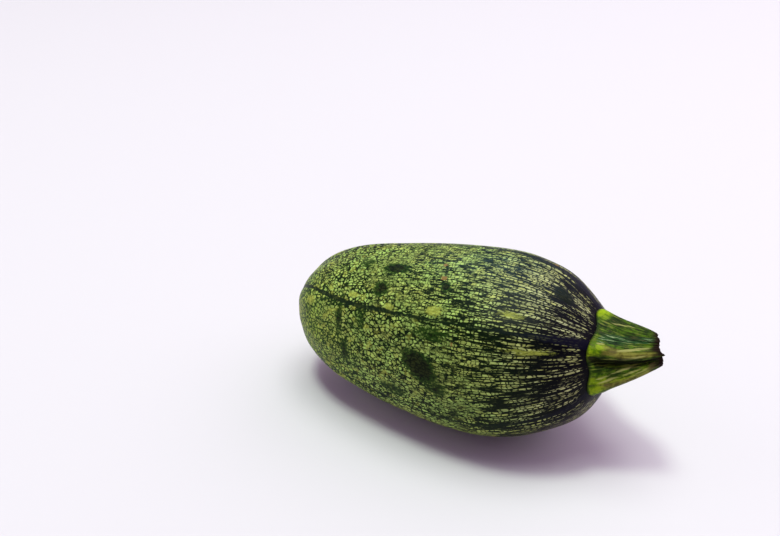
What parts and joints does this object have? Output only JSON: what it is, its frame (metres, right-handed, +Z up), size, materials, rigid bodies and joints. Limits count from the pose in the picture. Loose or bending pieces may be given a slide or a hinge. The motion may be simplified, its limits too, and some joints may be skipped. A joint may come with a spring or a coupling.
{
  "type": "zucchini",
  "caption": "Plump oval zucchini lying on its side, with soft lengthwise ribs, mottled green skin and a short ribbed stem with a flared foot and a cut end.",
  "frame": {"origin": "centre of the underside of the bounding box, on the surface that the fruit lies on", "axes": "+X along the fruit from the blossom end to the cut stem, +Z up, -Y the side that the camera sees"},
  "size_m": [0.1592, 0.0762, 0.076],
  "materials": {
    "fruit_skin": "waxy vegetable skin, pale green cells in a dark green net, satin",
    "stem_skin": "fibrous green stalk, matt, dry brown at the cut"
  },
  "bodies": {
    "root": {"fruit": "fruit_skin", "stem": "stem_skin"}
  },
  "joints": []
}
